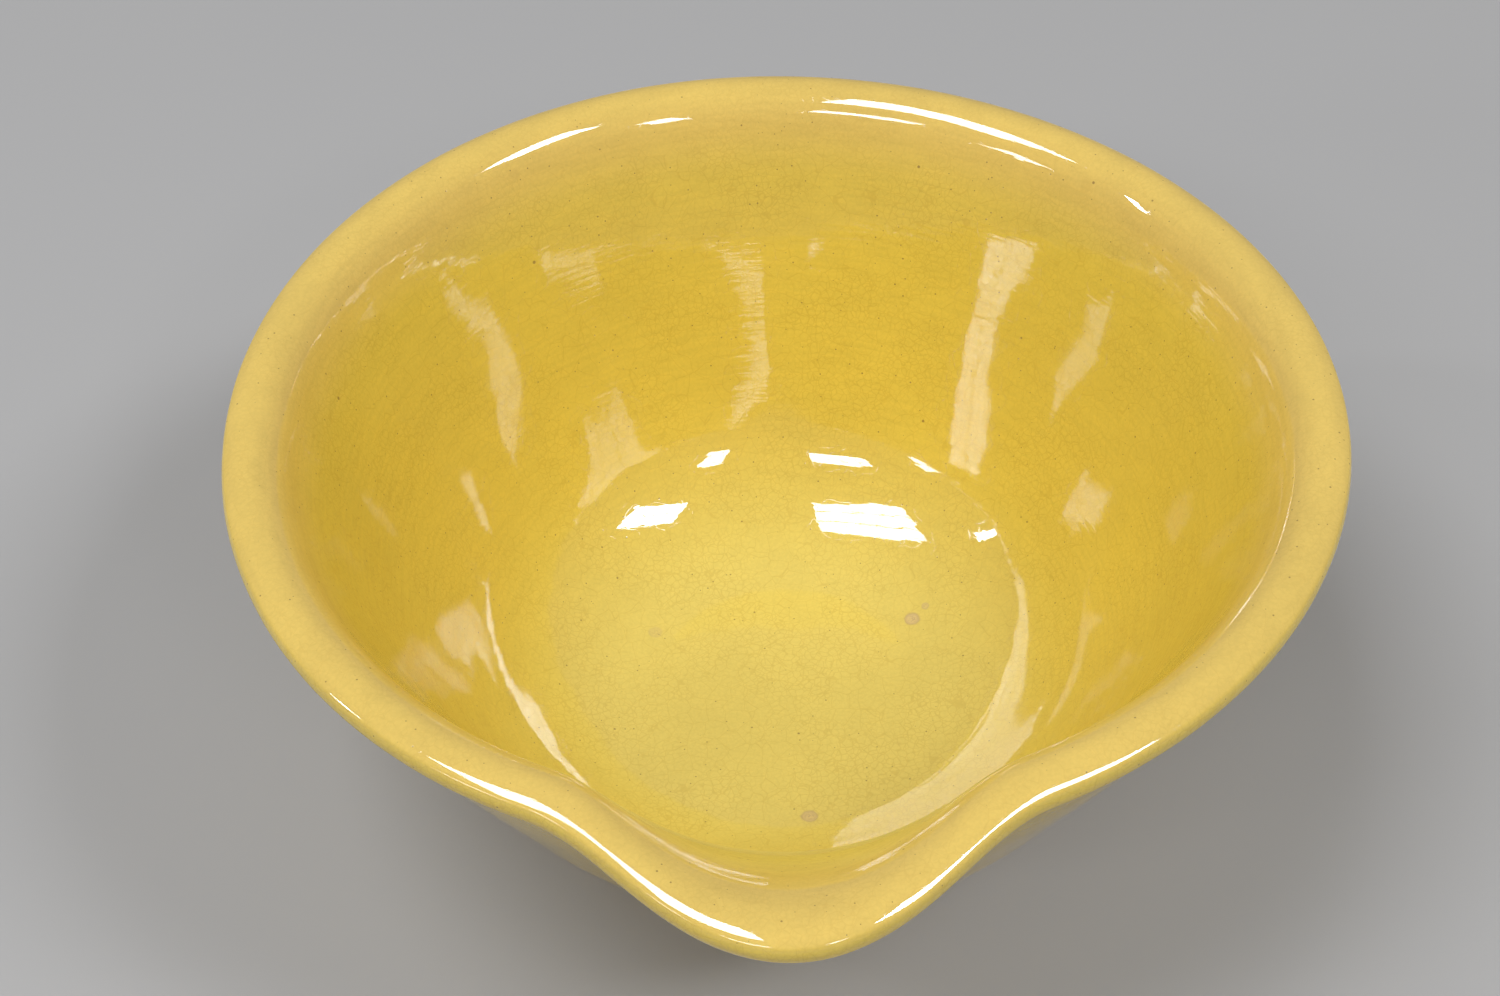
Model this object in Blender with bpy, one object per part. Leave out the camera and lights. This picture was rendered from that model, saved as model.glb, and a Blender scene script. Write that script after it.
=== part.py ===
"""Glazed stoneware mixing bowl with a pulled pouring lip.

Frame: metres, +Z up.  The origin is on the surface the bowl stands on, in the
middle of its bounding box.  The pouring lip points along -Y, so the axis that
the bowl was turned on stands a little to +Y of the origin.

The bowl is turned as a body of revolution and its rim is then pulled outward
over a sector to make the pouring lip.  Four solids lie on that one surface:
the fired clay body, the glaze inside it and over its lip, the glaze on its
outside wall, and the patch of glaze in the recess under its foot.
"""

import math

import bmesh
import bpy
import numpy as np

# ---- driving dimensions, in metres and degrees ------------------------------
RIM_RADIUS = 0.110        # outside of the lip, away from the pouring lip
HEIGHT = 0.100            # foot to the top of the lip
INNER_DEPTH = 0.090       # top of the lip down to the inside floor

FLOOR_RADIUS = 0.030      # flat part of the inside floor
CORNER_RADIUS = 0.043     # curve between the floor and the wall, inside
CORNER_TURN = 58.0        # slope of the wall where that curve ends
WALL_TOP_SLOPE = 63.0     # slope of the wall under the lip, inside
LIP_INNER_RADIUS = 0.0950  # where the wall turns into the broad lip
LIP_DEPTH = 0.0102        # height of that line below the top of the lip

CROWN_RADIUS = 0.0075     # the lip's broad top, seen in section
CROWN_INNER_SLOPE = 25.0  # its slope where it starts, inside
CROWN_OUTER_SLOPE = 32.0  # and where it ends, outside
SHOULDER_RADIUS = 0.0015  # tight turn from the top to the edge
SHOULDER_SLOPE = 65.0     # slope where that turn ends
EDGE_RADIUS = 0.0039      # rounding of the lip's outer edge
EDGE_END = 165.0          # how far round the edge goes, under the lip

NECK_RADIUS = 0.1040      # outside wall just under the lip
NECK_SLOPE = 67.0
NECK_DEPTH = 0.0125       # height of that line below the top of the lip
BELLY_RADIUS = 0.0825     # outside wall half way down
BELLY_DEPTH = 0.055
BELLY_SLOPE = 62.0
HEEL_RADIUS = 0.0500      # curve of the outside wall down to the foot
HEEL_TURN = 57.0

FOOT_RADIUS = 0.055       # outside of the foot ring, at its root
FOOT_TAPER = 0.0008       # how much narrower the ring is where it stands
FOOT_LAND = 0.0065        # width of the flat that the bowl stands on
FOOT_CHAMFER = 0.0007     # worn edges of that flat
RECESS_DEPTH = 0.0030     # hollow under the base, inside the ring
RECESS_FILLET = 0.0015

LIP_REACH = 0.0187        # how far the pouring lip is pulled out
LIP_DROP = 0.0025         # how far its tip bends down
LIP_HALF_ANGLE = 24.3     # half of the sector that is pulled
PULL_DEPTH_INSIDE = 0.055   # the pull fades out this far down inside
PULL_DEPTH_OUTSIDE = 0.050  # and this far down outside
PULL_POWER_INSIDE = 2.4
PULL_POWER_OUTSIDE = 2.8

RIM_WARP = 0.0007         # the firing left the rim this much out of round
WARP_LOBES = 3            # in three lobes, fading out towards the foot

COAT = 0.0005             # thickness of the glaze
GAP = 0.0003              # clearance between two solids that touch
GLAZE_STOP = 0.0030       # bare clay left above the standing surface

LIP_SECTOR = 25.0         # finer facets within this angle of the pouring lip
LIP_FACETS = 14
BODY_FACETS = 42

AXIS_X = -RIM_WARP        # the turning axis, placed so that the origin is
AXIS_Y = LIP_REACH / 2.0  # in the middle of the bounding box

# ---- materials: colour, roughness -------------------------------------------
CLAY = ("fired_clay", (0.62, 0.50, 0.33, 1.0), 0.85)
GLAZE = ("yellow_glaze", (0.70, 0.46, 0.075, 1.0), 0.12)


def clear_scene():
    """Start from an empty scene."""
    for item in list(bpy.data.objects):
        bpy.data.objects.remove(item, do_unlink=True)


def make_material(spec):
    """A Principled material from one of the specs above."""
    name, colour, roughness = spec
    material = bpy.data.materials.new(name)
    material.use_nodes = True
    shader = material.node_tree.nodes["Principled BSDF"]
    shader.inputs["Base Color"].default_value = colour
    shader.inputs["Roughness"].default_value = roughness
    shader.inputs["Metallic"].default_value = 0.0
    material.diffuse_color = colour
    return material


# ---- profile curves, as (radius, height) points -----------------------------
def arc(centre, radius, start, end, steps):
    """Points of a circular arc, angles in degrees from the +radius direction."""
    angles = np.radians(np.linspace(start, end, steps + 1))
    return [(centre[0] + radius * math.cos(a), centre[1] + radius * math.sin(a))
            for a in angles]


def hermite(start, start_slope, end, end_slope, steps, pull=1.0):
    """A curve between two points that leaves and arrives at given slopes."""
    start, end = np.array(start), np.array(end)
    reach = pull * np.linalg.norm(end - start)
    leave = reach * np.array([math.cos(math.radians(start_slope)),
                              math.sin(math.radians(start_slope))])
    arrive = reach * np.array([math.cos(math.radians(end_slope)),
                               math.sin(math.radians(end_slope))])
    points = []
    for t in np.linspace(0.0, 1.0, steps + 1):
        point = ((2 * t**3 - 3 * t**2 + 1) * start + (t**3 - 2 * t**2 + t) * leave
                 + (3 * t**2 - 2 * t**3) * end + (t**3 - t**2) * arrive)
        points.append(tuple(point))
    return points


def lip_profile():
    """The lip's broad top, the tight turn outside it and its rounded edge."""
    top = math.radians(CROWN_OUTER_SLOPE)
    turn = math.radians(SHOULDER_SLOPE)
    wider_top = CROWN_RADIUS - SHOULDER_RADIUS
    wider_edge = EDGE_RADIUS - SHOULDER_RADIUS
    shoulder = (RIM_RADIUS - EDGE_RADIUS + wider_edge * math.sin(turn),
                HEIGHT - CROWN_RADIUS + wider_top * math.cos(top))
    crown = (shoulder[0] - wider_top * math.sin(top), HEIGHT - CROWN_RADIUS)
    edge = (RIM_RADIUS - EDGE_RADIUS, shoulder[1] - wider_edge * math.cos(turn))
    return (arc(crown, CROWN_RADIUS, 90.0 + CROWN_INNER_SLOPE, 90.0, 2)
            + arc(crown, CROWN_RADIUS, 90.0, 90.0 - CROWN_OUTER_SLOPE, 3)[1:]
            + arc(shoulder, SHOULDER_RADIUS, 90.0 - CROWN_OUTER_SLOPE,
                  90.0 - SHOULDER_SLOPE, 2)[1:]
            + arc(edge, EDGE_RADIUS, 90.0 - SHOULDER_SLOPE, 90.0 - EDGE_END, 4)[1:])


def inside_profile():
    """The glazed face from the floor, up the wall and over the lip's edge."""
    floor = HEIGHT - INNER_DEPTH
    corner = arc((FLOOR_RADIUS, floor + CORNER_RADIUS), CORNER_RADIUS,
                 -90.0, -90.0 + CORNER_TURN, 6)
    wall_top = (LIP_INNER_RADIUS, HEIGHT - LIP_DEPTH)
    wall = hermite(corner[-1], CORNER_TURN, wall_top, WALL_TOP_SLOPE, 5)
    lip = lip_profile()
    rise = hermite(wall_top, WALL_TOP_SLOPE, lip[0], CROWN_INNER_SLOPE, 4, pull=1.1)
    return [(FLOOR_RADIUS / 2.0, floor)] + corner + wall[1:] + rise[1:] + lip[1:]


def outside_profile():
    """The glazed face from under the lip down to the side of the foot ring."""
    under_lip = inside_profile()[-1]
    seam = (under_lip[0] - 1.5 * GAP, under_lip[1] - 0.5 * GAP)
    neck = (NECK_RADIUS, HEIGHT - NECK_DEPTH)
    belly = (BELLY_RADIUS, HEIGHT - BELLY_DEPTH)
    throat = hermite(seam, 360.0 - EDGE_END, neck, 180.0 + NECK_SLOPE, 3)
    wall = hermite(neck, 180.0 + NECK_SLOPE, belly, 180.0 + BELLY_SLOPE, 4)
    heel_centre = (FLOOR_RADIUS, HEIGHT - INNER_DEPTH + CORNER_RADIUS)
    foot_angle = math.degrees(math.acos((FOOT_RADIUS - heel_centre[0]) / HEEL_RADIUS))
    heel = arc(heel_centre, HEEL_RADIUS, -90.0 + HEEL_TURN, -foot_angle, 4)
    low = (FOOT_RADIUS - 0.5 * FOOT_TAPER, GLAZE_STOP)
    foot = hermite(heel[-1], 250.0, low, 269.0, 2)
    return throat + wall[1:] + heel + foot[1:]


def recess_profile():
    """The underside of the base, from the foot ring's inner side to the middle."""
    inner = FOOT_RADIUS - FOOT_TAPER - FOOT_LAND
    fillet = arc((inner - RECESS_FILLET, RECESS_DEPTH - RECESS_FILLET),
                 RECESS_FILLET, 20.0, 90.0, 3)
    return fillet + [(inner / 2.0, RECESS_DEPTH)]


def land_profile():
    """The bare foot: both worn edges and the flat that it stands on."""
    outer = FOOT_RADIUS - FOOT_TAPER
    inner = outer - FOOT_LAND
    return [(outer, FOOT_CHAMFER), (outer - FOOT_CHAMFER, 0.0),
            (inner + FOOT_CHAMFER, 0.0), (inner, FOOT_CHAMFER)]


# ---- from a profile to rings of points --------------------------------------
def azimuths():
    """Angles around the axis, from the pouring lip, finer across the lip."""
    lip = np.linspace(-LIP_SECTOR, LIP_SECTOR, LIP_FACETS + 1)
    body = np.linspace(LIP_SECTOR, 360.0 - LIP_SECTOR, BODY_FACETS + 1)
    return np.radians(np.concatenate([lip, body[1:-1]]))


def pull_weight(height, outside):
    """How strongly a point at this height follows the pouring lip, 0 to 1."""
    depth = HEIGHT - height
    if outside:
        fall = (depth - NECK_DEPTH) / (PULL_DEPTH_OUTSIDE - NECK_DEPTH)
        power = PULL_POWER_OUTSIDE
    else:
        fall = depth / PULL_DEPTH_INSIDE
        power = PULL_POWER_INSIDE
    return (1.0 - min(max(fall, 0.0), 1.0)) ** power


def turn(profile, weights):
    """Turn a profile about the axis, pull the lip and warp the rim.

    The result is rings of (x, y, z), one for each point of the profile.
    """
    angles = azimuths()
    wrapped = (angles + math.pi) % (2.0 * math.pi) - math.pi
    across = np.clip(np.abs(wrapped) / math.radians(LIP_HALF_ANGLE), 0.0, 1.0)
    bell = np.cos(0.5 * math.pi * across) ** 2
    warp = -RIM_WARP * np.sin(WARP_LOBES * angles)
    rings = []
    for (radius, height), weight in zip(profile, weights):
        reach = radius + LIP_REACH * weight * bell + warp * (height / HEIGHT) ** 2
        drop = height - LIP_DROP * weight**2 * bell
        rings.append(np.stack([reach * np.sin(angles), -reach * np.cos(angles), drop], -1))
    return np.array(rings)


def sink(rings, depth):
    """Rings moved inward from the surface they lie on, along its normals."""
    along = np.gradient(rings, axis=0)
    around = np.roll(rings, -1, axis=1) - np.roll(rings, 1, axis=1)
    normals = np.cross(along, around)
    normals /= np.linalg.norm(normals, axis=-1, keepdims=True)
    return rings - depth * normals


def glazed_faces():
    """Rings of the inside face and of the outside face of the glaze."""
    inside = inside_profile()
    outside = outside_profile()
    crest = max(range(len(inside)), key=lambda i: inside[i][1])
    inside_weights = [pull_weight(z, i > crest) for i, (_, z) in enumerate(inside)]
    outside_weights = [pull_weight(z, True) for _, z in outside]
    return turn(inside, inside_weights), turn(outside, outside_weights)


# ---- from rings to closed solids --------------------------------------------
def add_rings(mesh, rings):
    """Put rings of vertices in a mesh and join each to the next."""
    loops = [[mesh.verts.new(point) for point in ring] for ring in rings]
    for lower, upper in zip(loops, loops[1:]):
        bridge(mesh, lower, upper)
    return loops


def bridge(mesh, first, second):
    """A band of quads between two loops of vertices."""
    count = len(first)
    for i in range(count):
        j = (i + 1) % count
        mesh.faces.new((first[i], first[j], second[j], second[i]))


def close_with_point(mesh, loop, height):
    """A fan from a loop to a point on the axis."""
    tip = mesh.verts.new((0.0, 0.0, height))
    count = len(loop)
    for i in range(count):
        mesh.faces.new((loop[i], loop[(i + 1) % count], tip))


def finish(mesh, name, material):
    """Make the mesh an object that stands on the bowl's own axis."""
    bmesh.ops.recalc_face_normals(mesh, faces=mesh.faces)
    data = bpy.data.meshes.new(name)
    mesh.to_mesh(data)
    mesh.free()
    data.materials.append(material)
    data.shade_smooth()
    data.set_sharp_from_angle(angle=math.radians(35.0))
    item = bpy.data.objects.new(name, data)
    item.location = (AXIS_X, AXIS_Y, 0.0)
    bpy.context.collection.objects.link(item)
    return item


def make_skin(name, face, material, floor=None):
    """A coat of glaze: its outer face, its face to the clay, and its edges.

    With a floor height the coat closes over the middle; without one it is a
    band that is open in the middle.
    """
    mesh = bmesh.new()
    outer = add_rings(mesh, face)
    inner = add_rings(mesh, sink(face, COAT))
    bridge(mesh, outer[-1], inner[-1])
    if floor is None:
        bridge(mesh, outer[0], inner[0])
    else:
        close_with_point(mesh, outer[0], floor[0])
        close_with_point(mesh, inner[0], floor[1])
    return finish(mesh, name, material)


def make_clay_body(inside, outside, material):
    """The fired clay: everything under the glaze, and the bare foot ring."""
    depth = COAT + GAP
    glazed = sink(np.concatenate([inside, outside]), depth)
    land = turn(land_profile(), [0.0] * len(land_profile()))
    recess = sink(turn(recess_profile(), [0.0] * len(recess_profile())), depth)
    mesh = bmesh.new()
    loops = add_rings(mesh, np.concatenate([glazed, land, recess]))
    close_with_point(mesh, loops[0], HEIGHT - INNER_DEPTH - depth)
    close_with_point(mesh, loops[-1], RECESS_DEPTH + depth)
    return finish(mesh, "clay_body", material)


def make_base_glaze(material):
    """The patch of glaze in the recess, inside the wiped foot ring."""
    face = turn(recess_profile(), [0.0] * len(recess_profile()))[::-1]
    mesh = bmesh.new()
    lower = add_rings(mesh, face)
    upper = add_rings(mesh, sink(face[::-1], COAT)[::-1])
    bridge(mesh, lower[-1], upper[-1])
    close_with_point(mesh, lower[0], RECESS_DEPTH)
    close_with_point(mesh, upper[0], RECESS_DEPTH + COAT)
    return finish(mesh, "base_glaze", material)


def main():
    clear_scene()
    clay = make_material(CLAY)
    glaze = make_material(GLAZE)
    inside, outside = glazed_faces()
    floor = HEIGHT - INNER_DEPTH
    make_clay_body(inside, outside, clay)
    make_skin("inner_glaze", inside, glaze, floor=(floor, floor - COAT))
    make_skin("outer_glaze", outside, glaze)
    make_base_glaze(glaze)


main()
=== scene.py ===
# The looks of a glazed stoneware mixing bowl with a pulled pouring lip.
#
# Metres, +Z up, in the frame of the imported model.  The bowl's surface is built
# again here from its own curves, finely enough for its shape, its ripples and
# its firing marks to be geometry; the materials add the glaze's colour, its
# crazing, specks, turning lines and wear.  Some of that colour is painted
# light and shade: part of the lip's paleness, the floor's paleness, and the
# darker band under the lip's edge.
import math

import bmesh
import bpy
import numpy as np
from mathutils import Matrix, Vector, noise


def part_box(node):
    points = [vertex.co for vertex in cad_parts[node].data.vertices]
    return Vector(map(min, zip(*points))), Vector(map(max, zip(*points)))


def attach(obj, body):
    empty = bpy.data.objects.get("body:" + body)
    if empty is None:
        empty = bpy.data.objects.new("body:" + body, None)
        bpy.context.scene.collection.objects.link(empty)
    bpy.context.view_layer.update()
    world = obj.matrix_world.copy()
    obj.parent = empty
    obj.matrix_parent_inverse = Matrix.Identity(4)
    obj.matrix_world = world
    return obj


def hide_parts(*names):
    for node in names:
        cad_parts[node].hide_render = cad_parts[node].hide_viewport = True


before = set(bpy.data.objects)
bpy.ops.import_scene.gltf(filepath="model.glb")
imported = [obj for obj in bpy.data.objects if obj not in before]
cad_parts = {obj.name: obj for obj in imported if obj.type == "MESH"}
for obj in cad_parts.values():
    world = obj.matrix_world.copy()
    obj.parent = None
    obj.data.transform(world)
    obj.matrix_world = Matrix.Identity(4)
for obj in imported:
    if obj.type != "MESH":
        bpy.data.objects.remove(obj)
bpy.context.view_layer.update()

MM = 0.001

# ---- sizes that the frame gives ---------------------------------------------
COAT = 0.5 * MM                       # thickness of the glaze
glaze_low, glaze_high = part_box("inner_glaze")
foot_low, foot_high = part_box("base_glaze")
AXIS = (foot_low + foot_high) / 2.0   # the axis that the bowl was turned on
HEIGHT = glaze_high.z
FLOOR = glaze_low.z + COAT
RIM_RADIUS = glaze_high.y - AXIS.y
LIP_REACH = AXIS.y - glaze_low.y - RIM_RADIUS

# ---- the bowl's curves, as the CAD model has them (metres, degrees) ---------
FLOOR_RADIUS = 0.030
CORNER_RADIUS = 0.043
CORNER_TURN = 58.0
WALL_TOP_SLOPE = 63.0
LIP_INNER_RADIUS = 0.0950
LIP_DEPTH = 0.0102
CROWN_RADIUS = 0.0075
CROWN_INNER_SLOPE = 25.0
CROWN_OUTER_SLOPE = 32.0
SHOULDER_RADIUS = 0.0015
SHOULDER_SLOPE = 65.0
EDGE_RADIUS = 0.0039
EDGE_END = 165.0
NECK_RADIUS = 0.1040
NECK_SLOPE = 67.0
NECK_DEPTH = 0.0125
BELLY_RADIUS = 0.0825
BELLY_DEPTH = 0.055
BELLY_SLOPE = 62.0
HEEL_RADIUS = 0.0500
HEEL_TURN = 57.0
FOOT_RADIUS = 0.055
FOOT_TAPER = 0.0008
FOOT_LAND = 0.0065
FOOT_ROUND = 0.0007
RECESS_DEPTH = 0.0030
RECESS_FILLET = 0.0015
GLAZE_STOP = 0.0030
LIP_DROP = 0.0025
LIP_HALF_ANGLE = 24.3
PULL_DEPTH_INSIDE = 0.055
PULL_DEPTH_OUTSIDE = 0.050
PULL_POWER_INSIDE = 2.4
PULL_POWER_OUTSIDE = 2.8
RIM_WARP = 0.0007
WARP_LOBES = 3

# ---- fineness of the surface ------------------------------------------------
GRID = 80                 # cells across the inside floor
AROUND = 4 * GRID         # so that a ring meets the floor's grid point for point
HIDDEN_SHARE = 4          # faces that nothing sees have this many times fewer
CROWDING = 0.35           # how much the points crowd towards the pouring lip
INSET = 0.14 * MM         # the fine surface lies this far inside the CAD faces
SHARPEST = 50.0           # edges that turn further than this (degrees) are not shaded smooth

# ---- relief of the glaze ----------------------------------------------------
SWELL_HEIGHT = 0.075 * MM
SWELL_SIZE = 22.0 * MM
RIPPLE_HEIGHT = 0.034 * MM
RIPPLE_SIZE = 7.0 * MM
LIP_CALM = 0.7            # the share of the ripples that the lip doesn't have
OUTSIDE_CALM = 0.3        # the outside wall counts as this much lip
TUCK = 0.3 * COAT         # the outside coat starts this far under the lip's edge
CLAY_UNDER = 0.4 * COAT   # the clay lies this far behind the face of the base glaze

# ---- firing marks: three points of the stilt that it stood on, and a slip ----
# (across, away from the lip, radius, strength), from the bowl's axis
STILT_MARKS = [
    (29.6 * MM, 21.6 * MM, 1.9 * MM, 0.8),
    (4.9 * MM, -34.3 * MM, 1.9 * MM, 0.7),
    (-28.8 * MM, 19.0 * MM, 1.7 * MM, 0.25),
    (32.7 * MM, 24.7 * MM, 1.0 * MM, 0.5),
]
PIT_DEPTH = 0.10 * MM
PIT_RIM = 0.05 * MM


# ---- curves, as arrays of (radius, height) ----------------------------------
def arc(centre, radius, start, end, step):
    """A circular arc, angles in degrees from the +radius direction."""
    count = math.ceil(math.radians(abs(end - start)) * radius / step)
    angles = np.radians(np.linspace(start, end, count + 1))
    return np.stack([centre[0] + radius * np.cos(angles),
                     centre[1] + radius * np.sin(angles)], -1)


def hermite(start, start_slope, end, end_slope, step, pull=1.0):
    """A curve between two points that leaves and arrives at given slopes."""
    start, end = np.array(start), np.array(end)
    span = np.linalg.norm(end - start)
    leave, arrive = (pull * span * np.array([math.cos(a), math.sin(a)])
                     for a in (math.radians(start_slope), math.radians(end_slope)))
    t = np.linspace(0.0, 1.0, math.ceil(span / step) + 1)[:, None]
    return ((2 * t**3 - 3 * t**2 + 1) * start + (t**3 - 2 * t**2 + t) * leave
            + (3 * t**2 - 2 * t**3) * end + (t**3 - t**2) * arrive)


def join_curves(*curves):
    """Curves that start where the one before ends, as one."""
    return np.concatenate([curves[0]] + [c[1:] for c in curves[1:]])


def smooth(low, high, value):
    """0 below low, 1 above high, eased between."""
    t = np.clip((value - low) / (high - low), 0.0, 1.0)
    return t * t * (3.0 - 2.0 * t)


def lip_curve():
    """The lip's broad top, the tight turn outside it and its rounded edge."""
    top = math.radians(CROWN_OUTER_SLOPE)
    turn = math.radians(SHOULDER_SLOPE)
    wider_top = CROWN_RADIUS - SHOULDER_RADIUS
    wider_edge = EDGE_RADIUS - SHOULDER_RADIUS
    shoulder = (RIM_RADIUS - EDGE_RADIUS + wider_edge * math.sin(turn),
                HEIGHT - CROWN_RADIUS + wider_top * math.cos(top))
    crown = (shoulder[0] - wider_top * math.sin(top), HEIGHT - CROWN_RADIUS)
    edge = (RIM_RADIUS - EDGE_RADIUS, shoulder[1] - wider_edge * math.cos(turn))
    return join_curves(
        arc(crown, CROWN_RADIUS, 90.0 + CROWN_INNER_SLOPE, 90.0, 0.6 * MM),
        arc(crown, CROWN_RADIUS, 90.0, 90.0 - CROWN_OUTER_SLOPE, 0.5 * MM),
        arc(shoulder, SHOULDER_RADIUS, 90.0 - CROWN_OUTER_SLOPE, 90.0 - SHOULDER_SLOPE, 0.2 * MM),
        arc(edge, EDGE_RADIUS, 90.0 - SHOULDER_SLOPE, 90.0 - EDGE_END, 0.5 * MM))


def inside_curve():
    """From the edge of the floor up the wall, over the lip and under its edge."""
    corner = arc((FLOOR_RADIUS, FLOOR + CORNER_RADIUS), CORNER_RADIUS,
                 -90.0, -90.0 + CORNER_TURN, 0.8 * MM)
    wall_top = (LIP_INNER_RADIUS, HEIGHT - LIP_DEPTH)
    wall = hermite(corner[-1], CORNER_TURN, wall_top, WALL_TOP_SLOPE, 1.2 * MM)
    lip = lip_curve()
    rise = hermite(wall_top, WALL_TOP_SLOPE, lip[0], CROWN_INNER_SLOPE, 0.7 * MM, pull=1.1)
    return join_curves(corner, wall, rise, lip)


def outside_curve():
    """From under the lip down the wall to the side of the foot ring."""
    under = inside_curve()[-1]
    neck = (NECK_RADIUS, HEIGHT - NECK_DEPTH)
    belly = (BELLY_RADIUS, HEIGHT - BELLY_DEPTH)
    throat = hermite(under, 360.0 - EDGE_END, neck, 180.0 + NECK_SLOPE, 0.6 * MM)
    wall = hermite(neck, 180.0 + NECK_SLOPE, belly, 180.0 + BELLY_SLOPE, 1.5 * MM)
    centre = (FLOOR_RADIUS, FLOOR + CORNER_RADIUS)
    foot_angle = math.degrees(math.acos((FOOT_RADIUS - centre[0]) / HEEL_RADIUS))
    heel = arc(centre, HEEL_RADIUS, -90.0 + HEEL_TURN, -foot_angle, 1.5 * MM)
    low = (FOOT_RADIUS - 0.5 * FOOT_TAPER, GLAZE_STOP)
    foot = hermite(heel[-1], 250.0, low, 269.0, 0.5 * MM)
    return join_curves(throat, wall, hermite(belly, 180.0 + BELLY_SLOPE, heel[0],
                                             180.0 + HEEL_TURN, 0.5 * MM), heel, foot)


def foot_curve():
    """The bare foot: its side, both worn edges, the flat and the inner side."""
    outer = FOOT_RADIUS - FOOT_TAPER
    inner = outer - FOOT_LAND
    side = hermite((outer - 0.4 * MM, GLAZE_STOP + 1.0 * MM), 265.0,
                   (outer, FOOT_ROUND), 270.0, 0.4 * MM)
    out_edge = arc((outer - FOOT_ROUND, FOOT_ROUND), FOOT_ROUND, 0.0, -90.0, 0.2 * MM)
    flat = hermite(out_edge[-1], 180.0, (inner + FOOT_ROUND, 0.0), 180.0, 0.6 * MM)
    in_edge = arc((inner + FOOT_ROUND, FOOT_ROUND), FOOT_ROUND, -90.0, -180.0, 0.2 * MM)
    return join_curves(side, out_edge, flat, in_edge)


def recess_curve():
    """The underside of the base, from the foot ring's inner side to the middle."""
    inner = FOOT_RADIUS - FOOT_TAPER - FOOT_LAND
    fillet = arc((inner - RECESS_FILLET, RECESS_DEPTH - RECESS_FILLET),
                 RECESS_FILLET, 10.0, 90.0, 0.3 * MM)
    flat = hermite(fillet[-1], 180.0, (1.5 * MM, RECESS_DEPTH), 180.0, 1.5 * MM)
    return join_curves(fillet, flat)


# ---- from curves to places on the bowl --------------------------------------
def ring_angles(count):
    """Angles around the axis from the pouring lip, crowded towards it."""
    even = np.arange(count) * 2.0 * math.pi / count
    return crowd(even)


def crowd(angle):
    return angle - CROWDING * np.sin(angle)


def place(radius, height, angle, weight):
    """Points of the turned form after the lip is pulled and the rim has warped."""
    wrapped = (angle + math.pi) % (2.0 * math.pi) - math.pi
    across = np.clip(np.abs(wrapped) / math.radians(LIP_HALF_ANGLE), 0.0, 1.0)
    bell = np.cos(0.5 * math.pi * across) ** 2
    warp = -RIM_WARP * np.sin(WARP_LOBES * angle) * (height / HEIGHT) ** 2
    reach = radius + LIP_REACH * weight * bell + warp
    drop = height - LIP_DROP * weight**2 * bell
    return np.stack(np.broadcast_arrays(AXIS.x + reach * np.sin(angle),
                                        AXIS.y - reach * np.cos(angle), drop), -1)


def pull_weight(height, outside):
    """How strongly a point at this height follows the pouring lip, 0 to 1."""
    depth = HEIGHT - height
    inner = (1.0 - np.clip(depth / PULL_DEPTH_INSIDE, 0.0, 1.0)) ** PULL_POWER_INSIDE
    fall = (depth - NECK_DEPTH) / (PULL_DEPTH_OUTSIDE - NECK_DEPTH)
    outer = (1.0 - np.clip(fall, 0.0, 1.0)) ** PULL_POWER_OUTSIDE
    return np.where(outside, outer, inner)


def rings_of(curve, count, outside):
    """Rings of points for each point of a curve.  outside is a flag for each."""
    radius, height = curve[:, 0:1], curve[:, 1:2]
    weight = pull_weight(height, np.reshape(outside, (-1, 1)))
    return place(radius, height, ring_angles(count)[None, :], weight)


def normals_of(rings):
    """The outward normals of rings that run from the inside floor outward."""
    along = np.gradient(rings, axis=0)
    around = np.roll(rings, -1, axis=1) - np.roll(rings, 1, axis=1)
    normals = np.cross(along, around)
    return normals / np.linalg.norm(normals, axis=-1, keepdims=True)


def sink(rings, depth):
    return rings - depth * normals_of(rings)


# ---- small relief of the surface --------------------------------------------
def wander(points, size, seed):
    """Smooth noise from about -1 to 1 at each point, of features this size."""
    flat = points.reshape(-1, 3) / size + seed
    values = [noise.noise(Vector(p)) for p in flat]
    return np.array(values).reshape(points.shape[:-1])


def ripple(points, lip):
    """How far the glaze stands off its ideal surface: slow swells and ripples."""
    slow = SWELL_HEIGHT * wander(points, SWELL_SIZE, seed=11.3)
    fine = RIPPLE_HEIGHT * wander(points, RIPPLE_SIZE, seed=47.9)
    return slow + fine * (1.0 - LIP_CALM * lip)


def stilt_relief(points):
    """The broken skin where the stilt's points stood: a pit with a raised rim."""
    total = np.zeros(points.shape[:-1])
    for across, away, radius, strength in STILT_MARKS:
        distance = np.hypot(points[..., 0] - AXIS.x - across,
                            points[..., 1] - AXIS.y - away)
        near = (distance < 2.0 * radius) & (points[..., 2] < HEIGHT / 2.0)
        t = distance / radius
        pit = -PIT_DEPTH * (1.0 - smooth(0.3, 0.95, t))
        rim = PIT_RIM * np.exp(-((t - 1.0) / 0.22) ** 2)
        total += np.where(near, strength * (pit + rim), 0.0)
    return total


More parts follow.
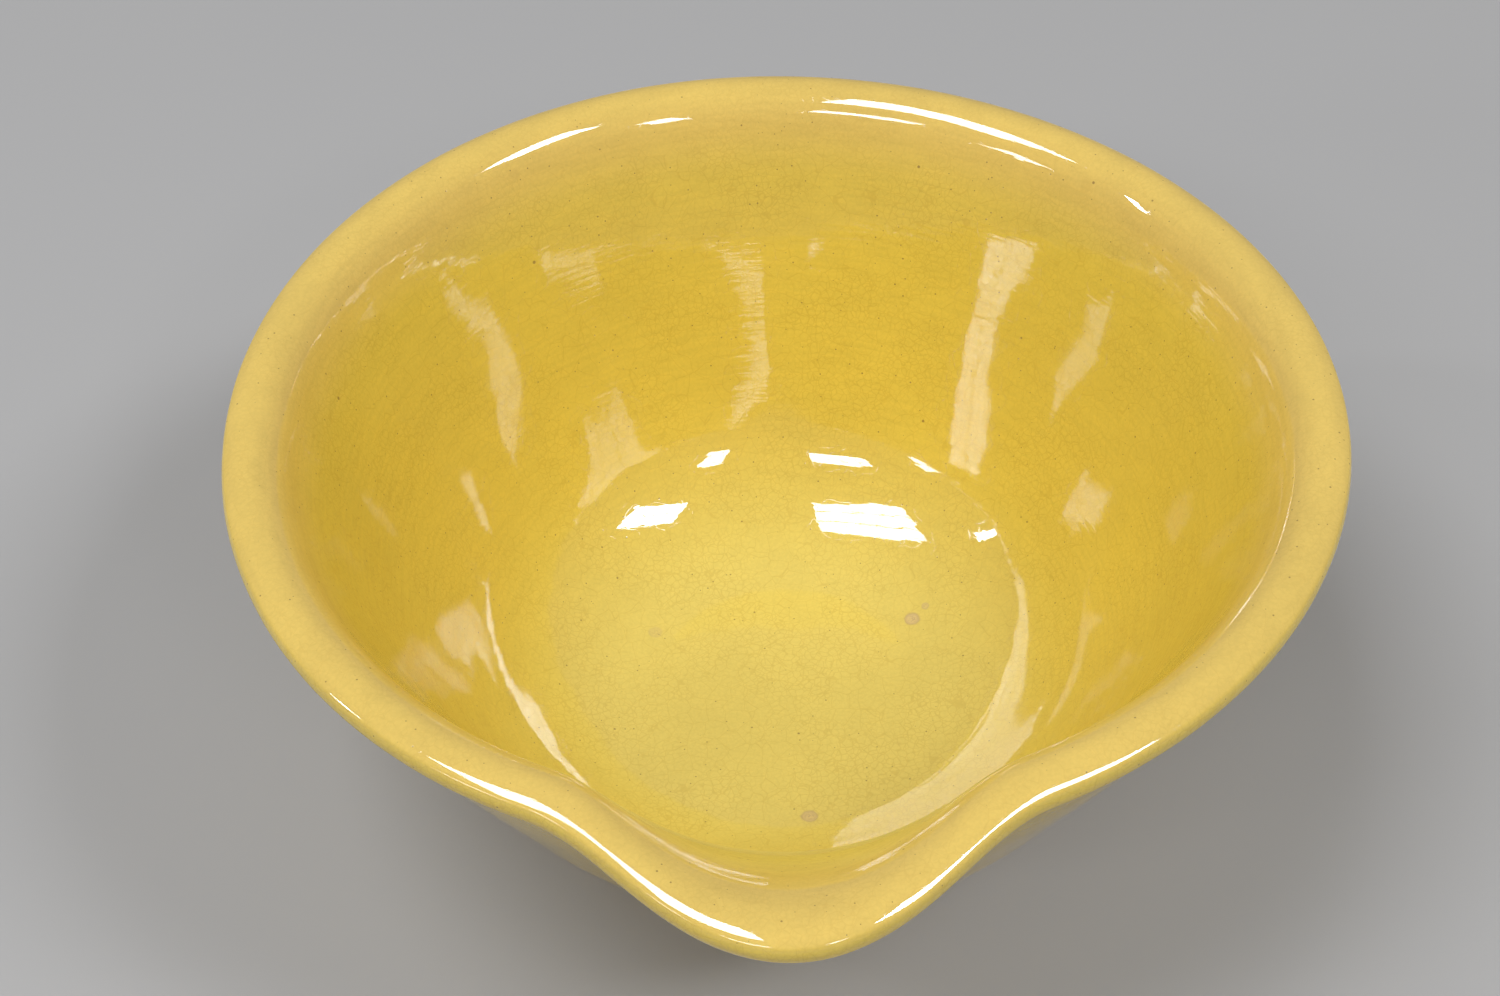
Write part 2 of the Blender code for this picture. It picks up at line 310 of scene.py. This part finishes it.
# ---- meshes -----------------------------------------------------------------
class Shell:
    """The points and faces of one piece while it is built."""

    def __init__(self):
        self.points = []
        self.faces = []
        self.values = {"lip": [], "floor": []}

    def add(self, points, lip=0.0, floor=0.0):
        """Add an array of points and return their numbers in the same layout."""
        first = len(self.points)
        shape = points.shape[:-1]
        self.points.extend(points.reshape(-1, 3).tolist())
        self.values["lip"].extend(np.broadcast_to(lip, shape).ravel().tolist())
        self.values["floor"].extend(np.broadcast_to(floor, shape).ravel().tolist())
        return np.arange(first, len(self.points)).reshape(shape)

    def band(self, first, second):
        """Quads between two rings; one may have several times fewer points."""
        if len(first) < len(second):
            first, second = second, first
        share = len(first) // len(second)
        for i in range(len(second)):
            j = (i + 1) % len(second)
            run = [first[(i * share + k) % len(first)] for k in range(share + 1)]
            self.faces.append([*run, second[j], second[i]] if share == 1
                              else [run[0], run[1], second[i]])
            if share > 1:
                self.fan(run, second[i], second[j])

    def fan(self, run, left, right):
        """The rest of a step from many points to few: triangles, left then right."""
        middle = len(run) // 2
        for k in range(1, len(run) - 1):
            tip = left if k < middle else right
            self.faces.append([run[k], run[k + 1], tip])
        self.faces.append([left, run[middle], right])

    def rings(self, numbers):
        for first, second in zip(numbers, numbers[1:]):
            self.band(first, second)

    def close(self, ring, tip):
        """A fan from a ring to one point."""
        for i in range(len(ring)):
            self.faces.append([ring[i], ring[(i + 1) % len(ring)], tip])

    def grid(self, numbers):
        for i in range(numbers.shape[0] - 1):
            for j in range(numbers.shape[1] - 1):
                self.faces.append([numbers[i, j], numbers[i + 1, j],
                                   numbers[i + 1, j + 1], numbers[i, j + 1]])

    def finish(self, name, material, node):
        """Make the object, and let it stand for its CAD node."""
        data = bpy.data.meshes.new(name)
        data.from_pydata(self.points, [], [[int(i) for i in f] for f in self.faces])
        mesh = bmesh.new()
        mesh.from_mesh(data)
        bmesh.ops.recalc_face_normals(mesh, faces=mesh.faces)
        mesh.to_mesh(data)
        mesh.free()
        for key, values in self.values.items():
            layer = data.attributes.new(key, "FLOAT", "POINT")
            layer.data.foreach_set("value", values)
        data.materials.append(material)
        data.shade_smooth()
        data.set_sharp_from_angle(angle=math.radians(SHARPEST))
        piece = bpy.data.objects.new(name, data)
        bpy.context.collection.objects.link(piece)
        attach(piece, "root")
        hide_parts(node)
        return piece


def floor_grid(radius):
    """A square grid of points bent into a disc, so that all its cells are alike."""
    side = np.linspace(-1.0, 1.0, GRID + 1)
    a, b = np.meshgrid(side, side, indexing="ij")
    wide = np.abs(a) >= np.abs(b)
    safe_a = np.where(a == 0.0, 1.0, a)
    safe_b = np.where(b == 0.0, 1.0, b)
    reach = np.where(wide, a, b)
    turn = np.where(wide, 0.25 * math.pi * b / safe_a,
                    0.5 * math.pi - 0.25 * math.pi * a / safe_b)
    x, y = reach * np.cos(turn), reach * np.sin(turn)
    angle = crowd(np.arctan2(y, x) % (2.0 * math.pi))
    return place(radius * np.hypot(x, y), FLOOR, angle, 0.0)


def grid_rim(numbers):
    """The numbers around the outside of a grid, from the middle of a side."""
    n, half = GRID, GRID // 2
    path = [(n, j) for j in range(half, n)] + [(i, n) for i in range(n, 0, -1)]
    path += [(0, j) for j in range(n, 0, -1)] + [(i, 0) for i in range(n)]
    path += [(n, j) for j in range(half)]
    return np.array([numbers[i, j] for i, j in path])


def make_inside_glaze(material):
    """The glaze inside the bowl and over its lip, with its ripples and marks."""
    curve = inside_curve()
    crest = int(np.argmax(curve[:, 1]))
    outside = np.arange(len(curve)) > crest
    rings = rings_of(curve, AROUND, outside)
    # the lip's share: its paler colour is partly thin glaze and partly painted light, and it also
    # calms the ripples and the crazing
    turned = smooth(LIP_INNER_RADIUS - 4.0 * MM, LIP_INNER_RADIUS + 4.0 * MM, curve[:, 0])
    # under the lip's edge the colour fades back to the wall's deeper yellow: painted shade under
    # the edge
    rolled = 1.0 - smooth(0.8 * MM, 2.6 * MM, HEIGHT - curve[:, 1])
    lip = np.where(outside, rolled, turned)[:, None] * np.ones((1, AROUND))
    # the floor's share: its paler colour is a painted reflection of the room, and it fades the
    # turning lines
    floor = (1.0 - smooth(1.1 * FLOOR_RADIUS, 2.5 * FLOOR_RADIUS, curve[:, 0]))[:, None]
    normals = normals_of(rings)
    relief = ripple(rings, lip) + stilt_relief(rings) - INSET
    middle = floor_grid(FLOOR_RADIUS)
    middle_relief = ripple(middle, 0.0) + stilt_relief(middle) - INSET
    middle = middle + middle_relief[..., None] * np.array([0.0, 0.0, 1.0])

    shell = Shell()
    grid = shell.add(middle, floor=1.0)
    shell.grid(grid)
    face = shell.add((rings + relief[..., None] * normals)[1:], lip[1:], floor[1:])
    shell.band(grid_rim(grid), face[0])
    shell.rings(face)

    back_curve = curve[::HIDDEN_SHARE]
    back = sink(rings_of(back_curve, AROUND // HIDDEN_SHARE, outside[::HIDDEN_SHARE]), COAT)
    under = shell.add(back)
    shell.rings(under)
    shell.band(face[-1], under[-1])
    tip = shell.add(np.array([[AXIS.x, AXIS.y, FLOOR - COAT]]))
    shell.close(under[0], tip[0])
    return shell.finish("glaze_inside", material, "inner_glaze")


def make_outside_glaze(material):
    """The glaze outside, from under the lip to its wiped edge above the foot."""
    curve = outside_curve()
    outside = np.ones(len(curve), bool)
    rings = rings_of(curve, AROUND, outside)
    normals = normals_of(rings)
    rings = rings + (ripple(rings, OUTSIDE_CALM) - INSET)[..., None] * normals
    tucked = rings[0] - TUCK * normals[0]
    wiped = smooth(GLAZE_STOP + 3.0 * MM, GLAZE_STOP, curve[:, 1])[:, None]
    edge_wander = 0.5 * MM * wander(rings, 9.0 * MM, seed=83.1)
    rings[..., 2] += wiped * (edge_wander + 0.3 * MM)

    shell = Shell()
    top = shell.add(tucked)
    face = shell.add(rings)
    shell.band(top, face[0])
    shell.rings(face)
    back = sink(rings_of(curve[::HIDDEN_SHARE], AROUND // HIDDEN_SHARE,
                         outside[::HIDDEN_SHARE]), COAT)
    under = shell.add(back)
    shell.rings(under)
    shell.band(top, under[0])
    shell.band(face[-1], under[-1])
    return shell.finish("glaze_outside", material, "outer_glaze")


def make_clay(material):
    """The fired clay under the glaze, and the bare ring that the bowl stands on."""
    count = AROUND // 2
    inner = inside_curve()[::HIDDEN_SHARE]
    outer = outside_curve()[4::HIDDEN_SHARE]
    outer = outer[outer[:, 1] > GLAZE_STOP + 2.0 * MM]
    crest = int(np.argmax(inner[:, 1]))
    flags = np.concatenate([np.arange(len(inner)) > crest, np.ones(len(outer), bool)])
    hidden = sink(rings_of(np.concatenate([inner, outer]), count, flags), COAT)
    foot = rings_of(foot_curve(), count, np.ones(len(foot_curve()), bool))
    sand = 0.05 * MM
    grain = sand * wander(foot, 1.6 * MM, seed=5.7) + sand * wander(foot, 6.0 * MM, seed=9.2)
    clear = foot[..., 2] > sand
    relief = np.where(clear, grain - sand, 0.0)
    foot = foot + relief[..., None] * normals_of(foot)
    recess = rings_of(recess_curve(), count, np.ones(len(recess_curve()), bool))
    recess = sink(recess, CLAY_UNDER)

    shell = Shell()
    numbers = shell.add(np.concatenate([hidden, foot, recess]))
    shell.rings(numbers)
    tips = shell.add(np.array([[AXIS.x, AXIS.y, FLOOR - COAT],
                               [AXIS.x, AXIS.y, RECESS_DEPTH + CLAY_UNDER]]))
    shell.close(numbers[0], tips[0])
    shell.close(numbers[-1], tips[1])
    return shell.finish("clay", material, "clay_body")


def make_base_glaze(material):
    """The patch of glaze in the hollow under the foot."""
    count = AROUND // 2
    curve = recess_curve()[2:]
    rings = rings_of(curve, count, np.ones(len(curve), bool))
    relief = 0.05 * MM * wander(rings, 9.0 * MM, seed=21.4)
    face_rings = rings + relief[..., None] * normals_of(rings)
    shell = Shell()
    face = shell.add(face_rings)
    back = shell.add(sink(rings, COAT))
    shell.rings(face)
    shell.rings(back)
    shell.band(face[0], back[0])
    tips = shell.add(np.array([[AXIS.x, AXIS.y, RECESS_DEPTH],
                               [AXIS.x, AXIS.y, RECESS_DEPTH + COAT]]))
    shell.close(face[-1], tips[0])
    shell.close(back[-1], tips[1])
    return shell.finish("glaze_base", material, "base_glaze")


# ---- materials --------------------------------------------------------------
class Paint:
    """A material being mixed: each call adds a node and returns its output."""

    def __init__(self, name):
        self.material = bpy.data.materials.new(name)
        self.material.use_nodes = True
        self.tree = self.material.node_tree
        self.shader = self.tree.nodes["Principled BSDF"]
        coordinates = self.tree.nodes.new("ShaderNodeTexCoord")
        scale = self.tree.nodes.new("ShaderNodeVectorMath")
        scale.operation = "SCALE"
        scale.inputs["Scale"].default_value = 1.0 / MM
        self.tree.links.new(coordinates.outputs["Object"], scale.inputs[0])
        self.place = scale.outputs[0]          # the place in millimetres

    def set(self, socket, value):
        """Give an input a value or the output of another node."""
        if isinstance(value, bpy.types.NodeSocket):
            self.tree.links.new(value, socket)
        else:
            socket.default_value = value

    def attribute(self, name):
        node = self.tree.nodes.new("ShaderNodeAttribute")
        node.attribute_name = name
        return node.outputs["Fac"]

    def math(self, operation, first, second=0.0):
        node = self.tree.nodes.new("ShaderNodeMath")
        node.operation = operation
        self.set(node.inputs[0], first)
        self.set(node.inputs[1], second)
        return node.outputs[0]

    def ease(self, value, low, high, start=0.0, end=1.0):
        """start below low, end above high, eased between."""
        node = self.tree.nodes.new("ShaderNodeMapRange")
        node.interpolation_type = "SMOOTHSTEP"
        for name, setting in (("Value", value), ("From Min", low), ("From Max", high),
                              ("To Min", start), ("To Max", end)):
            self.set(node.inputs[name], setting)
        return node.outputs["Result"]

    def mix(self, factor, first, second, blend="MIX"):
        node = self.tree.nodes.new("ShaderNodeMix")
        node.data_type = "RGBA"
        node.blend_type = blend
        self.set(node.inputs[0], factor)
        self.set(node.inputs[6], first)
        self.set(node.inputs[7], second)
        return node.outputs[2]

    def noise(self, size, detail=2.0, place=None, roughness=0.5):
        """Smooth noise from 0 to 1 with features about this many mm across."""
        node = self.tree.nodes.new("ShaderNodeTexNoise")
        self.set(node.inputs["Vector"], self.place if place is None else place)
        node.inputs["Scale"].default_value = 1.0 / size
        node.inputs["Detail"].default_value = detail
        node.inputs["Roughness"].default_value = roughness
        return node

    def cells(self, size, feature, place=None):
        node = self.tree.nodes.new("ShaderNodeTexVoronoi")
        node.feature = feature
        self.set(node.inputs["Vector"], self.place if place is None else place)
        node.inputs["Scale"].default_value = 1.0 / size
        return node

    def shifted(self, amount, size):
        """The place, pushed about by noise: amount and size in mm."""
        wobble = self.noise(size, 1.0)
        centred = self.tree.nodes.new("ShaderNodeVectorMath")
        centred.operation = "MULTIPLY_ADD"
        self.set(centred.inputs[0], wobble.outputs["Color"])
        centred.inputs[1].default_value = (2.0 * amount,) * 3
        centred.inputs[2].default_value = (-amount,) * 3
        moved = self.tree.nodes.new("ShaderNodeVectorMath")
        moved.operation = "ADD"
        self.set(moved.inputs[0], self.place)
        self.set(moved.inputs[1], centred.outputs[0])
        return moved.outputs[0]

    def drawn_out(self, factor):
        """The place with x and y drawn in, so that textures run round the bowl."""
        node = self.tree.nodes.new("ShaderNodeVectorMath")
        node.operation = "MULTIPLY"
        self.set(node.inputs[0], self.place)
        node.inputs[1].default_value = (1.0 / factor, 1.0 / factor, 1.0)
        return node.outputs[0]

    def from_point(self, point):
        """The distance in mm from a point given in metres."""
        node = self.tree.nodes.new("ShaderNodeVectorMath")
        node.operation = "DISTANCE"
        self.set(node.inputs[0], self.shifted(0.25, 1.2))
        node.inputs[1].default_value = Vector(point) / MM
        return node.outputs["Value"]

    def bump(self, height):
        """Relief of the surface from a height in millimetres."""
        node = self.tree.nodes.new("ShaderNodeBump")
        node.inputs["Strength"].default_value = 1.0
        node.inputs["Distance"].default_value = MM
        self.set(node.inputs["Height"], height)
        self.set(self.shader.inputs["Normal"], node.outputs[0])


GLAZE_IOR = 1.85            # a lead glaze, denser than window glass
# The glaze's own yellow is the wall's.  The lip's paler yellow is partly its thinner glaze and
# partly painted light, where the lip is lit more; the floor's paler yellow is a painted reflection
# of the grey room in the flat floor.
WALL_YELLOW = (0.745, 0.520, 0.061, 1.0)
LIP_THIN_AND_PAINTED_LIGHT_YELLOW = (0.785, 0.530, 0.113, 1.0)
FLOOR_PAINTED_REFLECTION_YELLOW = (0.775, 0.596, 0.121, 1.0)
CRAZE_TINT = (0.72, 0.60, 0.42, 1.0)
SPECK_BROWN = (0.21, 0.11, 0.03, 1.0)
RUST = (0.50, 0.26, 0.07, 1.0)
SCAR_PALE = (0.66, 0.46, 0.22, 1.0)
SCAR_BROWN = (0.40, 0.25, 0.10, 1.0)
CLAY_BUFF = (0.60, 0.47, 0.31, 1.0)
CLAY_TOAST = (0.50, 0.36, 0.20, 1.0)
CLAY_SAND = (0.72, 0.62, 0.47, 1.0)
CLAY_GRIME = (0.25, 0.18, 0.11, 1.0)
STUDIO_GREY = (0.415, 0.395, 0.365, 1.0)

# The glaze's fine detail, in mm.
CLOUDS = ((38.0, 0.97, 1.02), (6.0, 0.985, 1.01), (0.7, 0.965, 1.02))  # size, darkest, palest
COARSE_NET = (4.2, 0.10)    # crazing: the size of its cells and of its cracks
FINE_NET = (1.6, 0.12)
COARSE_STRENGTH = 0.28
FINE_STRENGTH = 0.30
TURNING_LINE = 0.9          # width of the lines left by turning the bowl
DRAWN_OUT = 12.0            # and how many times as long as wide they are
LINE_RELIEF = 0.017
SKIN_RELIEF = 0.008
CRACK_RELIEF = 0.002
SPECK_RELIEF = 0.006
GRIT_RELIEF = 0.07


def crazing(paint, size, width):
    """1 on the hair cracks of a network whose cells are this size, else 0."""
    edges = paint.cells(size, "DISTANCE_TO_EDGE", paint.shifted(0.35 * size, 1.4 * size))
    # the texture measures in cells, so a width in mm is divided by the cell
    return paint.ease(edges.outputs["Distance"], 0.3 * width / size, width / size, 1.0, 0.0)


def specks(paint, spacing, largest):
    """1 inside scattered round specks, whose radii go up to largest mm."""
    dots = paint.cells(spacing, "F1")
    size = paint.math("MULTIPLY", dots.outputs["Color"], largest / spacing)
    return paint.ease(dots.outputs["Distance"], paint.math("MULTIPLY", size, 0.55), size, 1.0, 0.0)


def firing_marks(paint, colour):
    """The colour with the stilt's marks on it, and how rough they make it."""
    crumbs = paint.ease(paint.noise(0.45, 2.0).outputs["Fac"], 0.45, 0.62)
    rough = 0.0
    for across, away, radius, strength in STILT_MARKS:
        beyond = max(math.hypot(across, away) - FLOOR_RADIUS, 0.0)
        rise = CORNER_RADIUS - math.sqrt(CORNER_RADIUS**2 - beyond**2)
        distance = paint.from_point((AXIS.x + across, AXIS.y + away, FLOOR + rise))
        mm = radius / MM
        disc = paint.ease(distance, 0.7 * mm, 1.1 * mm, strength, 0.0)
        ring = paint.math("MULTIPLY", disc, paint.ease(distance, 0.45 * mm, 0.85 * mm))
        core = paint.math("MULTIPLY", disc, paint.ease(distance, 0.3 * mm, 0.7 * mm, 1.0, 0.0))
        colour = paint.mix(paint.math("MULTIPLY", disc, 0.75), colour, SCAR_PALE)
        colour = paint.mix(paint.math("MULTIPLY", ring, 0.6), colour, SCAR_BROWN)
        colour = paint.mix(paint.math("MULTIPLY", core, paint.math("MULTIPLY", crumbs, 0.75)),
                           colour, SCAR_BROWN)
        rough = paint.math("MAXIMUM", rough, disc)
    return colour, rough


def glaze_material(name):
    """Yellow gloss glaze, finely crazed, over buff clay."""
    paint = Paint(name)
    # the wall's yellow, paler on the lip (its thin glaze, and painted light there) and on the
    # floor (a painted reflection), and deeper again under the lip's edge (painted shade)
    colour = paint.mix(paint.attribute("lip"), WALL_YELLOW, LIP_THIN_AND_PAINTED_LIGHT_YELLOW)
    colour = paint.mix(paint.attribute("floor"), colour, FLOOR_PAINTED_REFLECTION_YELLOW)
    for size, low, high in CLOUDS:
        cloud = paint.ease(paint.noise(size).outputs["Fac"], 0.3, 0.7, low, high)
        colour = paint.mix(1.0, colour, cloud, "MULTIPLY")
    # turning lines run round the wall, and the glaze is thinner on them
    turned = paint.noise(TURNING_LINE, 1.0, place=paint.drawn_out(DRAWN_OUT)).outputs["Fac"]
    lines = paint.ease(paint.attribute("floor"), 0.0, 1.0, 1.0, 0.25)
    colour = paint.mix(lines, colour, paint.ease(turned, 0.3, 0.7, 0.97, 1.02), "MULTIPLY")
    coarse = crazing(paint, *COARSE_NET)
    fine = crazing(paint, *FINE_NET)
    patchy = paint.ease(paint.noise(17.0).outputs["Fac"], 0.38, 0.60, 0.25, 1.0)
    veins = paint.math("MAXIMUM", paint.math("MULTIPLY", coarse, COARSE_STRENGTH),
                       paint.math("MULTIPLY", paint.math("MULTIPLY", fine, patchy), FINE_STRENGTH))
    veins = paint.math("MULTIPLY", veins, paint.ease(paint.attribute("lip"), 0.0, 1.0, 1.0, 0.45))
    colour = paint.mix(veins, colour, paint.mix(1.0, colour, CRAZE_TINT, "MULTIPLY"))
    dots = paint.math("MAXIMUM", specks(paint, 1.9, 0.30), specks(paint, 9.0, 0.55))
    colour = paint.mix(paint.math("MULTIPLY", dots, 0.7), colour, SPECK_BROWN)
    stain = specks(paint, 23.0, 2.2)
    colour = paint.mix(paint.math("MULTIPLY", stain, 0.12), colour, RUST)
    colour, scar = firing_marks(paint, colour)

    # the turning lines' relief; the rest is the skin of the glaze
    height = paint.math("MULTIPLY", turned, LINE_RELIEF)
    skin = paint.math("MULTIPLY", paint.noise(2.6).outputs["Fac"], SKIN_RELIEF)
    height = paint.math("ADD", height, skin)
    height = paint.math("SUBTRACT", height, paint.math("MULTIPLY", coarse, CRACK_RELIEF))
    height = paint.math("SUBTRACT", height, paint.math("MULTIPLY", dots, SPECK_RELIEF))
    grit = paint.math("MULTIPLY", scar, paint.noise(0.5, 3.0).outputs["Fac"])
    height = paint.math("ADD", height, paint.math("MULTIPLY", grit, GRIT_RELIEF))

    wear = paint.ease(paint.noise(14.0, 4.0).outputs["Fac"], 0.45, 0.75, 0.02, 0.04)
    gloss = paint.math("ADD", wear, paint.math("MULTIPLY", coarse, 0.02))
    gloss = paint.math("ADD", gloss, paint.math("MULTIPLY", scar, 0.4))
    paint.set(paint.shader.inputs["Base Color"], colour)
    paint.set(paint.shader.inputs["Roughness"], gloss)
    paint.shader.inputs["IOR"].default_value = GLAZE_IOR
    paint.bump(height)
    return paint.material


def clay_material():
    """Bare buff stoneware: sandy, matt, toasted in patches."""
    paint = Paint("bare_clay")
    toast = paint.ease(paint.noise(12.0, 3.0).outputs["Fac"], 0.3, 0.7)
    colour = paint.mix(toast, CLAY_BUFF, CLAY_TOAST)
    sand = paint.ease(paint.noise(0.7, 2.0).outputs["Fac"], 0.35, 0.7)
    colour = paint.mix(paint.math("MULTIPLY", sand, 0.35), colour, CLAY_SAND)
    iron = specks(paint, 2.2, 0.35)
    colour = paint.mix(paint.math("MULTIPLY", iron, 0.8), colour, SPECK_BROWN)
    grime = paint.ease(paint.noise(5.0, 4.0).outputs["Fac"], 0.5, 0.75)
    colour = paint.mix(paint.math("MULTIPLY", grime, 0.3), colour, CLAY_GRIME)
    paint.set(paint.shader.inputs["Base Color"], colour)
    paint.set(paint.shader.inputs["Roughness"], paint.ease(toast, 0.0, 1.0, 0.72, 0.9))
    height = paint.math("MULTIPLY", paint.noise(0.6, 3.0).outputs["Fac"], 0.12)
    paint.bump(paint.math("SUBTRACT", height, paint.math("MULTIPLY", iron, 0.05)))
    return paint.material


def floor_material():
    """A plain pale studio floor."""
    paint = Paint("studio_floor")
    paint.shader.inputs["Base Color"].default_value = STUDIO_GREY
    paint.shader.inputs["Roughness"].default_value = 0.9
    return paint.material


# ---- the studio -------------------------------------------------------------
STUDIO_HALF = 12.0           # half the width of the studio floor


def make_floor():
    data = bpy.data.meshes.new("studio_floor")
    corners = [(x * STUDIO_HALF, y * STUDIO_HALF, 0.0)
               for x, y in ((-1, -1), (1, -1), (1, 1), (-1, 1))]
    data.from_pydata(corners, [], [(0, 1, 2, 3)])
    data.materials.append(floor_material())
    floor = bpy.data.objects.new("studio_floor", data)
    bpy.context.collection.objects.link(floor)


# Ceiling panels: (name, across, away, width, depth, strips, radiance), in rim
# radii from the bowl's axis, on a level plane this far above the rim.
CEILING = 18.0
STRIP_GAP = 0.16
PANELS = [
    ("near_right", 13.7, -5.9, 8.8, 4.6, 2, 21.5),
    ("near_left", -7.5, -3.5, 10.2, 6.6, 3, 11.0),
    ("far_left", -29.5, -1.0, 10.0, 1.8, 1, 30.0),
    ("front_right", 10.2, -21.6, 3.6, 6.5, 1, 11.0),
    ("front_left", -8.9, -20.0, 9.7, 4.2, 2, 12.0),
    ("front_far_left", -35.3, -24.0, 13.0, 7.0, 2, 9.0),
]
SURROUND = 0.24
DAYLIGHT = (0.94, 1.0, 1.12)      # the panels are a little cooler than the room


def make_panel(name, across, away, width, depth, strips, radiance):
    """A level panel of light made of strips side by side."""
    pitch = depth / strips
    for i in range(strips):
        lamp = bpy.data.lights.new(f"{name}_{i}", "AREA")
        lamp.shape = "RECTANGLE"
        lamp.color = DAYLIGHT
        lamp.size = width * RIM_RADIUS
        lamp.size_y = (pitch - STRIP_GAP) * RIM_RADIUS
        lamp.energy = radiance * math.pi * lamp.size * lamp.size_y
        item = bpy.data.objects.new(f"{name}_{i}", lamp)
        y = away - depth / 2.0 + (i + 0.5) * pitch
        item.location = (AXIS.x + across * RIM_RADIUS, AXIS.y + y * RIM_RADIUS,
                         HEIGHT + CEILING * RIM_RADIUS)
        bpy.context.collection.objects.link(item)


def make_lights():
    """The panels overhead, and an even grey surround."""
    for panel in PANELS:
        make_panel(*panel)
    world = bpy.data.worlds.new("surround")
    world.use_nodes = True
    background = world.node_tree.nodes["Background"]
    background.inputs["Color"].default_value = (SURROUND, SURROUND, SURROUND, 1.0)
    bpy.context.scene.world = world


# The camera's place, in metres, and the directions it has on its right and ahead.
CAMERA_AWAY = (-0.00357, -0.35661, 0.42376)    # from the bowl's axis at the floor
CAMERA_RIGHT = (0.999857, -0.006948, -0.015400)
CAMERA_FORWARD = (-0.005886, 0.711199, -0.702966)
CAMERA_LENS = 58.90


def make_camera():
    data = bpy.data.cameras.new("camera")
    data.lens = CAMERA_LENS
    data.sensor_width = 36.0
    data.dof.use_dof = False
    data.clip_start = 0.01
    camera = bpy.data.objects.new("camera", data)
    right, forward = Vector(CAMERA_RIGHT).normalized(), Vector(CAMERA_FORWARD).normalized()
    up = right.cross(forward)
    turn = Matrix((right, up, -forward)).transposed()
    camera.matrix_world = Matrix.Translation(Vector((AXIS.x, AXIS.y, 0.0))
                                             + Vector(CAMERA_AWAY)) @ turn.to_4x4()
    bpy.context.collection.objects.link(camera)
    bpy.context.scene.camera = camera


def allow_long_light_paths():
    """Light runs round a deep glossy wall in many short steps before it leaves."""
    cycles = bpy.context.scene.cycles
    cycles.max_bounces = 20
    cycles.glossy_bounces = 16


def main():
    glaze = glaze_material("yellow_glaze")
    make_inside_glaze(glaze)
    make_outside_glaze(glaze)
    make_clay(clay_material())
    make_base_glaze(glaze)
    make_floor()
    make_lights()
    make_camera()
    allow_long_light_paths()
    bpy.context.scene.view_settings.view_transform = "Standard"


main()
